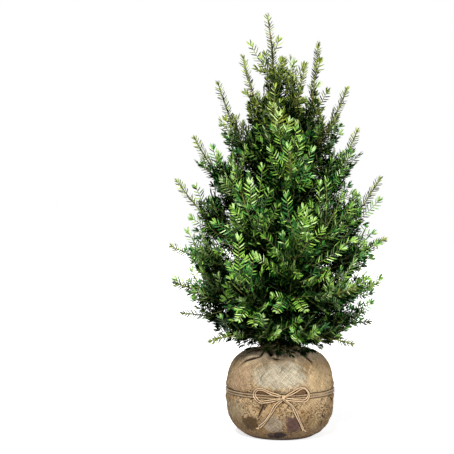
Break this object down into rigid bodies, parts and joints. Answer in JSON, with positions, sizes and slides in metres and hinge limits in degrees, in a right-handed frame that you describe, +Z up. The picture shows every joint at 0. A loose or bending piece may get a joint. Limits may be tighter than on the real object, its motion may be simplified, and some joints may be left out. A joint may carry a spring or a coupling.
{
  "type": "english yew on a root ball",
  "caption": "Young conical yew for a hedge, its root ball wrapped in hessian and tied with jute twine in a bow.",
  "frame": {"origin": "centre of the root ball's flat underside, on the surface it stands on", "axes": "+Z up along the trunk, +X to the right as seen from the front, where the bow is tied, which faces -Y"},
  "size_m": [0.6561, 0.5396, 1.1809],
  "materials": {
    "hessian": "coarse open weave, damp in patches",
    "jute twine": "three-strand twisted jute, hairy",
    "yew bark": "thin scaly red-brown bark",
    "yew needles": "flat soft needles, slightly glossy, yellow-green at the young tips"
  },
  "bodies": {
    "root": {"back_high_left": "yew needles", "back_high_right": "yew needles", "back_low_left": "yew needles", "back_low_right": "yew needles", "back_shoulder": "yew needles", "back_skirt": "yew needles", "back_skirt_left": "yew needles", "back_skirt_right": "yew needles", "back_top": "yew needles", "bough_back_low_left": "yew bark", "bough_back_low_right": "yew bark", "bough_front_fork": "yew bark", "bough_left_high": "yew bark", "bough_left_low": "yew bark", "bough_left_shoulder": "yew bark", "bough_left_wide": "yew bark", "bough_right_high": "yew bark", "bough_right_leader": "yew bark", "bough_right_low": "yew bark", "bough_right_shoulder": "yew bark", "bough_right_wide": "yew bark", "bow_knot": "jute twine", "bow_loop_left": "jute twine", "bow_loop_right": "jute twine", "bow_tail_left": "jute twine", "bow_tail_right": "jute twine", "front_crest": "yew needles", "front_fork": "yew needles", "front_left_high": "yew needles", "front_left_low": "yew needles", "front_right_high": "yew needles", "front_right_low": "yew needles", "front_skirt_left": "yew needles", "front_skirt_right": "yew needles", "front_top": "yew needles", "hessian_collar": "hessian", "leader": "yew needles", "left_back": "yew needles", "left_crest": "yew needles", "left_high": "yew needles", "left_low": "yew needles", "left_shoulder": "yew needles", "left_skirt": "yew needles", "left_skirt_front": "yew needles", "left_top": "yew needles", "left_wide": "yew needles", "right_crest": "yew needles", "right_high": "yew needles", "right_leader": "yew needles", "right_low": "yew needles", "right_shoulder": "yew needles", "right_skirt": "yew needles", "right_skirt_front": "yew needles", "right_top": "yew needles", "right_wide": "yew needles", "root_ball": "hessian", "trunk": "yew bark", "twine_turn_lower": "jute twine", "twine_turn_upper": "jute twine"}
  },
  "joints": []
}
